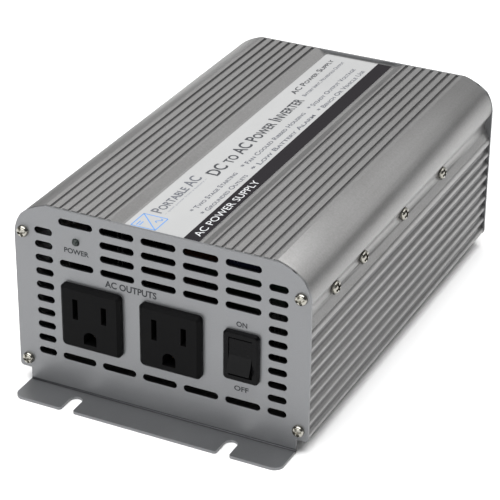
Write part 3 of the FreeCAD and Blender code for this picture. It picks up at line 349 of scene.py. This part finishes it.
def extruded_aluminium(name, colour, roughness):
    """Anodised aluminium with fine die lines along its length, a faint grain, handling marks and painted
    shade in its ribs' grooves.
    """
    look = Shading(name, colour, roughness, metallic=0.85)
    lines = look.noise(DIE_LINES, detail=4.0)
    bands = look.noise(DIE_BANDS, detail=2.0)
    grain = look.noise(METAL_GRAIN, detail=2.0)
    smudges = look.noise(HAND_SMUDGES, detail=4.0)
    speckle = look.noise(METAL_SPECKLE, detail=3.0, rough=0.7)
    speckled = look.colours(speckle, *shades(colour, spread=0.09))
    lined = look.colours(lines, dark=(0.95, 0.95, 0.95), light=WHITE)
    banded = look.colours(bands, dark=(0.97, 0.97, 0.97), light=WHITE)
    smudged = look.colours(smudges, dark=(0.96, 0.955, 0.95), light=WHITE)
    # Painted shade: the metal's colour is darkened towards the bottom of the ribs' grooves.
    painted_groove_shade = look.colours(groove_depth(look), WHITE, GROOVE_SHADE, start=0.0, end=1.0)
    look.set("Base Color", look.darkened(speckled, lined, banded, smudged, painted_groove_shade))
    fine = look.ramp(grain, low=roughness - 0.04, high=roughness + 0.05)
    look.set("Roughness", look.product(fine, look.ramp(smudges, low=0.92, high=1.08)))
    line_relief = look.bump(lines, depth_mm=0.004)
    look.set("Normal", look.bump(grain, depth_mm=0.010, before=line_relief))
    return look.material


def sheet_depth(look):
    """0 on the outer faces of both end panels and 1 inside their cut holes and along their bends, where
    painted shade darkens them.
    """
    across, along, height = look.position()
    within = look.product(look.rise(along, BEHIND_FRONT), look.fall(along, BEFORE_REAR))
    inboard = look.product(look.fall(across, PANEL_OUTLINE_SIDE), look.fall(height, PANEL_OUTLINE_TOP))
    between = look.product(look.rise(along, FRONT_BEND), look.fall(along, REAR_BEND))
    bends = look.product(look.fall(height, BEND_TOP), between)
    return look.larger(look.product(within, inboard), bends)


def painted_sheet(name, colour, roughness):
    """Satin grey paint on sheet metal: fine orange peel, a faint metallic speck, slight clouding and
    painted shade in its holes and bends.
    """
    look = Shading(name, colour, roughness, metallic=0.85)
    peel = look.noise(PAINT_PEEL, detail=2.0)
    specks = look.noise(PAINT_SPECKS, detail=1.0)
    clouds = look.noise(PAINT_CLOUDS, detail=4.0)
    specked = look.colours(specks, *shades(colour, spread=0.06))
    clouded = look.colours(clouds, dark=(0.965, 0.965, 0.965), light=WHITE)
    # Painted shade: the paint is darkened inside the panels' holes and along their bends.
    painted_edge_shade = look.colours(sheet_depth(look), WHITE, EDGE_SHADE, start=0.0, end=1.0)
    look.set("Base Color", look.darkened(specked, clouded, painted_edge_shade))
    look.set("Roughness", look.ramp(clouds, low=roughness - 0.04, high=roughness + 0.05))
    look.set("Normal", look.bump(peel, depth_mm=0.012))
    return look.material


def moulded_plastic(name, colour, roughness, grain_mm=0.35, depth_mm=0.012, gloss=0.5):
    """Moulded plastic with a spark-eroded grain and a little dust in its tone."""
    look = Shading(name, colour, roughness)
    look.shader.inputs["Specular IOR Level"].default_value = gloss
    grain = look.noise((grain_mm, grain_mm, grain_mm), detail=2.5)
    dust = look.noise(PLASTIC_DUST, detail=5.0)
    look.set("Base Color", look.colours(dust, *shades(colour, spread=0.18)))
    look.set("Roughness", look.ramp(dust, low=roughness - 0.05, high=roughness + 0.07))
    look.set("Normal", look.bump(grain, depth_mm))
    return look.material


def plated_steel(name, colour, roughness):
    """Zinc or nickel plate: bright, a little uneven, with turning marks and dull patches."""
    look = Shading(name, colour, roughness, metallic=1.0)
    patches = look.noise(PLATE_PATCHES, detail=4.0)
    scratches = look.noise(PLATE_SCRATCHES, detail=3.0)
    look.set("Base Color", look.colours(patches, *shades(colour, spread=0.12)))
    look.set("Roughness", look.ramp(patches, low=roughness - 0.06, high=roughness + 0.10))
    look.set("Normal", look.bump(scratches, depth_mm=0.006))
    return look.material


def printed_film(name, colour, roughness):
    """Silver printed film: a smooth face with a faint fibre texture under it."""
    look = Shading(name, colour, roughness, metallic=0.15)
    fibre = look.noise(FILM_FIBRE, detail=3.0)
    clouds = look.noise(FILM_CLOUDS, detail=3.0)
    look.set("Base Color", look.colours(clouds, *shades(colour, spread=0.025)))
    look.set("Roughness", look.ramp(fibre, low=roughness - 0.03, high=roughness + 0.05))
    fibre_relief = look.bump(fibre, depth_mm=0.004)
    look.set("Normal", look.bump(clouds, depth_mm=0.05, before=fibre_relief))
    return look.material


def ink(name, colour, gloss):
    """Screen-printed ink: nearly even, with a slightly broken film."""
    look = Shading(name, colour, roughness=0.5)
    look.shader.inputs["Specular IOR Level"].default_value = gloss
    film = look.noise(INK_FILM, detail=3.0)
    look.set("Base Color", look.colours(film, *shades(colour, spread=0.12)))
    look.set("Normal", look.bump(film, depth_mm=0.004))
    return look.material


def circuit_laminate(name, colour, roughness):
    """Solder mask over copper tracks."""
    look = Shading(name, colour, roughness)
    tracks = look.add("ShaderNodeTexBrick", offset=0.37)
    tracks.inputs["Scale"].default_value = 1.0
    tracks.inputs["Mortar Size"].default_value = 0.12
    tracks.inputs["Color1"].default_value = (*colour, 1)
    tracks.inputs["Color2"].default_value = (*scaled_colour(colour, share=0.7), 1)
    tracks.inputs["Mortar"].default_value = (*scaled_colour(colour, share=1.8), 1)
    look.link(look.scaled(BOARD_TRACKS), tracks.inputs["Vector"])
    look.set("Base Color", tracks.outputs["Color"])
    look.set("Normal", look.bump(tracks.outputs["Fac"], depth_mm=0.03))
    return look.material


def wound_wire(name, colour, roughness):
    """Enamelled copper wire, turn beside turn."""
    look = Shading(name, colour, roughness, metallic=0.7)
    turns = look.add("ShaderNodeTexWave", bands_direction="Z", wave_profile="SIN")
    turns.inputs["Scale"].default_value = ONE_BAND_PER_UNIT
    turns.inputs["Distortion"].default_value = 0.6
    look.link(look.scaled(WIRE_TURNS), turns.inputs["Vector"])
    dark, light = shades(colour, spread=0.35)
    look.set("Base Color", look.colours(turns.outputs["Fac"], dark, light, start=0.1, end=0.9))
    look.set("Normal", look.bump(turns.outputs["Fac"], depth_mm=0.15))
    return look.material


def lamp_lens(name, colour, roughness):
    """Tinted diffusing lens of the power lamp."""
    look = Shading(name, colour, roughness)
    look.shader.inputs["Specular IOR Level"].default_value = 0.3
    haze = look.noise(LENS_HAZE, detail=2.0)
    look.set("Base Color", look.colours(haze, *shades(colour, spread=0.3)))
    return look.material


def make_materials():
    """One material for each material slot of the CAD model, and the inks."""
    sleeve = {"grain_mm": 0.8, "depth_mm": 0.004}
    finishes = [
        # slot, family, colour, roughness, other settings
        ("case_metal", extruded_aluminium, (0.268, 0.266, 0.264), 0.40, {}),
        ("plate_metal", extruded_aluminium, (0.52, 0.52, 0.52), 0.30, {}),
        ("panel_metal", painted_sheet, (0.195, 0.1985, 0.204), 0.42, {}),
        ("screw_metal", plated_steel, (0.33, 0.32, 0.285), 0.20, {}),
        ("label_film", printed_film, (0.350, 0.352, 0.352), 0.35, {}),
        ("black_plastic", moulded_plastic, (0.0028, 0.0028, 0.003), 0.45, {"gloss": 0.05}),
        ("gloss_black_plastic", moulded_plastic, (0.0025, 0.0025, 0.0028), 0.22, {"gloss": 0.07}),
        ("red_plastic", moulded_plastic, (0.42, 0.018, 0.014), 0.32, {}),
        ("brass", plated_steel, (0.72, 0.50, 0.22), 0.28, {}),
        ("spring_steel", plated_steel, (0.6, 0.6, 0.6), 0.25, {}),
        ("lamp_lens", lamp_lens, (0.02, 0.026, 0.024), 0.35, {}),
        ("board_laminate", circuit_laminate, (0.001, 0.004, 0.002), 0.35, {}),
        ("insulation", moulded_plastic, (0.05, 0.05, 0.045), 0.6, {}),
        ("ferrite", moulded_plastic, (0.02, 0.02, 0.022), 0.6, {"grain_mm": 0.2, "depth_mm": 0.02}),
        ("winding", wound_wire, (0.06, 0.022, 0.008), 0.3, {}),
        ("can_sleeve", moulded_plastic, (0.012, 0.014, 0.03), 0.25, sleeve),
        ("fuse_plastic", moulded_plastic, (0.03, 0.12, 0.42), 0.2, sleeve),
        ("wire_sleeve", moulded_plastic, (0.02, 0.02, 0.02), 0.4, {"grain_mm": 0.6, "depth_mm": 0.006}),
    ]
    materials = {}
    for slot, family, colour, roughness, settings in finishes:
        materials[slot] = family(slot, colour, roughness, **settings)
    for name, (colour, gloss) in INKS.items():
        materials[name] = ink(name, colour, gloss)
    return materials


# ---- CAD nodes ----

def dress_nodes(materials):
    """Give every CAD node its material, and round the edges of those that are seen."""
    slots = {entry["node"]: entry["material_slot"] for entry in frame["record"]["subparts"]}
    for name, node in frame["nodes"].items():
        node.data.materials.clear()
        node.data.materials.append(materials[slots[name]])
        if name in SOFT_EDGES:
            soften(node, SOFT_EDGES[name] * MM)


def soften(node, width):
    weld = node.modifiers.new("weld", "WELD")
    weld.merge_threshold = WELD_GAP
    bevel = node.modifiers.new("bevel", "BEVEL")
    bevel.width = width
    bevel.segments = BEVEL_SEGMENTS
    bevel.limit_method = "ANGLE"
    bevel.angle_limit = SHARP_ANGLE


# ---- printing ----

def printed(name, mesh, centre, face, lift, material):
    """Lay a flat mesh on a face as a film of ink, with its origin at the centre."""
    along, up, slot = face
    out = along.cross(up)
    for vertex in mesh.vertices:
        vertex.co = centre + along * vertex.co.x + up * vertex.co.y + out * lift
    mesh.materials.clear()
    mesh.materials.append(material)
    piece = bpy.data.objects.new(name, mesh)
    bpy.context.scene.collection.objects.link(piece)
    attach(piece, BODY)


def word_mesh(name, words, size, weight, small_caps):
    """Words as a flat mesh about the origin, stretched to a width and height."""
    text = bpy.data.curves.new(name + "_text", "FONT")
    text.body = words
    text.resolution_u = CURVE_STEPS
    text.offset = weight
    if small_caps:
        text.small_caps_scale = SMALL_CAPS
        for character in text.body_format:
            character.use_small_caps = True
    holder = bpy.data.objects.new(name + "_text", text)
    bpy.context.scene.collection.objects.link(holder)
    bpy.context.view_layer.update()
    shown = holder.evaluated_get(bpy.context.evaluated_depsgraph_get())
    mesh = bpy.data.meshes.new_from_object(shown)
    bpy.data.objects.remove(holder)
    left, right = extent([vertex.co.x for vertex in mesh.vertices])
    foot, top = extent([vertex.co.y for vertex in mesh.vertices])
    width, height = size
    for vertex in mesh.vertices:
        x = (vertex.co.x - (left + right) / 2) * width / (right - left)
        y = (vertex.co.y - (foot + top) / 2) * height / (top - foot)
        vertex.co = (x, y, 0)
    return mesh


def extent(values):
    return min(values), max(values)


def panel_words(materials):
    """The function words beside the lamp, the outlets and the switch."""
    for name, words, (width, height), (x, z) in PANEL_WORDS:
        mesh = word_mesh(name, words, (width * MM, height * MM), PANEL_WEIGHT, small_caps=False)
        centre = Vector((x * MM, FRONT, z * MM))
        printed(name, mesh, centre, PANEL_FACE, WORDS_LIFT, materials["ink_panel"])


def label_print(materials):
    """Title and feature lines of the name label, all in generic words."""
    for name, words, (start, end), (top, foot), tone, small_caps in LABEL_LINES:
        size = ((end - start) * MM, (foot - top) * MM)
        mesh = word_mesh("label_" + name, words, size, LABEL_WEIGHT, small_caps)
        centre = Vector(((top + foot) / 2 * MM, FRONT + (start + end) / 2 * MM, label_high.z))
        printed("label_" + name, mesh, centre, LABEL_FACE, WORDS_LIFT, materials[tone])


def label_stripe_words(materials):
    """The pale words on the label's dark stripe."""
    x, distance = STRIPE_WORDS_PLACE
    width, height = STRIPE_WORDS_SIZE
    size = (width * MM, height * MM)
    mesh = word_mesh("label_stripe_words", "AC POWER SUPPLY", size, STRIPE_WEIGHT, small_caps=False)
    centre = Vector((x * MM, FRONT + distance * MM, label_high.z + STRIPE_WORDS_LIFT))
    printed("label_stripe_words", mesh, centre, LABEL_FACE, WORDS_LIFT, materials["ink_white"])


def flat_mesh(name, outlines):
    """A mesh of flat faces from lists of points."""
    mesh = bpy.data.meshes.new(name)
    sheet = bmesh.new()
    for outline in outlines:
        sheet.faces.new([sheet.verts.new((x, y, 0)) for x, y in outline])
    sheet.to_mesh(mesh)
    sheet.free()
    return mesh


def label_stripe(materials):
    """The dark band along the label's right edge."""
    half = (label_high.y - label_low.y) / 2
    left = STRIPE_LEFT * MM
    right = label_high.x - STRIPE_MARGIN * MM
    mesh = flat_mesh("label_stripe", [[(-half, -right), (half, -right), (half, -left), (-half, -left)]])
    centre = Vector((0, (label_low.y + label_high.y) / 2, label_high.z))
    printed("label_stripe", mesh, centre, LABEL_FACE, STRIPE_LIFT, materials["ink_stripe"])


def ribbon(points):
    """A flat line through points, as one quad for each stretch."""
    outlines = []
    for (x0, y0), (x1, y1) in zip(points, points[1:]):
        scale = SYMBOL_LINE / 2 / math.hypot(x1 - x0, y1 - y0)
        nx = -(y1 - y0) * scale
        ny = (x1 - x0) * scale
        outlines.append([
            (x0 - nx, y0 - ny),
            (x1 - nx, y1 - ny),
            (x1 + nx, y1 + ny),
            (x0 + nx, y0 + ny),
        ])
    return outlines


def label_symbol(materials):
    """A generic converter sign: a box with a diagonal, direct current on one side, a wave on the other."""
    half = SYMBOL_HALF
    corners = [(-half, -half), (half, -half), (half, half), (-half, half), (-half, -half)]
    outlines = ribbon(corners) + ribbon([(-half, -half), (half, half)])
    for height in SYMBOL_BAR_HEIGHTS:
        outlines += ribbon([(end, height) for end in SYMBOL_BARS])
    wave_x, wave_y = WAVE_START
    wave = []
    for step in range(WAVE_STEPS + 1):
        share = step / WAVE_STEPS
        wave.append((wave_x + WAVE_LENGTH * share, wave_y + WAVE_HEIGHT * math.sin(2 * math.pi * share)))
    outlines += ribbon(wave)
    mesh = flat_mesh("label_symbol", [[(x * MM, y * MM) for x, y in outline] for outline in outlines])
    x, distance = SYMBOL_MIDDLE
    centre = Vector((x * MM, FRONT + distance * MM, label_high.z))
    printed("label_symbol", mesh, centre, LABEL_FACE, WORDS_LIFT, materials["ink_blue"])


# ---- stage, lights and camera ----

def make_floor():
    half = FLOOR_HALF
    mesh = flat_mesh("floor", [[(-half, -half), (half, -half), (half, half), (-half, half)]])
    mesh.materials.append(Shading("floor", FLOOR_COLOUR, FLOOR_ROUGHNESS).material)
    floor = bpy.data.objects.new("floor", mesh)
    bpy.context.scene.collection.objects.link(floor)


def make_world():
    world = bpy.data.worlds.new("studio")
    world.use_nodes = True
    background = world.node_tree.nodes["Background"]
    background.inputs["Color"].default_value = (*WORLD_COLOUR, 1)
    background.inputs["Strength"].default_value = WORLD_STRENGTH
    bpy.context.scene.world = world


def make_lights():
    for name, place, (width, height), power in SOFTBOXES:
        data = bpy.data.lights.new(name, "AREA")
        data.shape = "RECTANGLE"
        data.size = width
        data.size_y = height
        data.energy = power
        light = bpy.data.objects.new(name, data)
        light.location = place
        light.rotation_euler = (Vector(place) - LIGHTS_AIM).to_track_quat("Z", "Y").to_euler()
        bpy.context.scene.collection.objects.link(light)


def make_camera():
    data = bpy.data.cameras.new("camera")
    data.lens = CAMERA_LENS
    data.sensor_width = CAMERA_SENSOR
    data.clip_start = CAMERA_NEAREST
    camera = bpy.data.objects.new("camera", data)
    back = Vector((
        math.sin(CAMERA_AZIMUTH) * math.cos(CAMERA_ELEVATION),
        -math.cos(CAMERA_AZIMUTH) * math.cos(CAMERA_ELEVATION),
        math.sin(CAMERA_ELEVATION),
    ))
    turn = back.to_track_quat("Z", "Y").to_matrix() @ Matrix.Rotation(CAMERA_ROLL, 3, "Z")
    camera.rotation_euler = turn.to_euler()
    camera.location = CAMERA_TARGET + back * CAMERA_DISTANCE
    bpy.context.scene.collection.objects.link(camera)
    bpy.context.scene.camera = camera


def main():
    materials = make_materials()
    dress_nodes(materials)
    panel_words(materials)
    label_print(materials)
    label_stripe_words(materials)
    label_stripe(materials)
    label_symbol(materials)
    make_floor()
    make_world()
    make_lights()
    make_camera()
    bpy.context.scene.view_settings.view_transform = "Standard"


main()
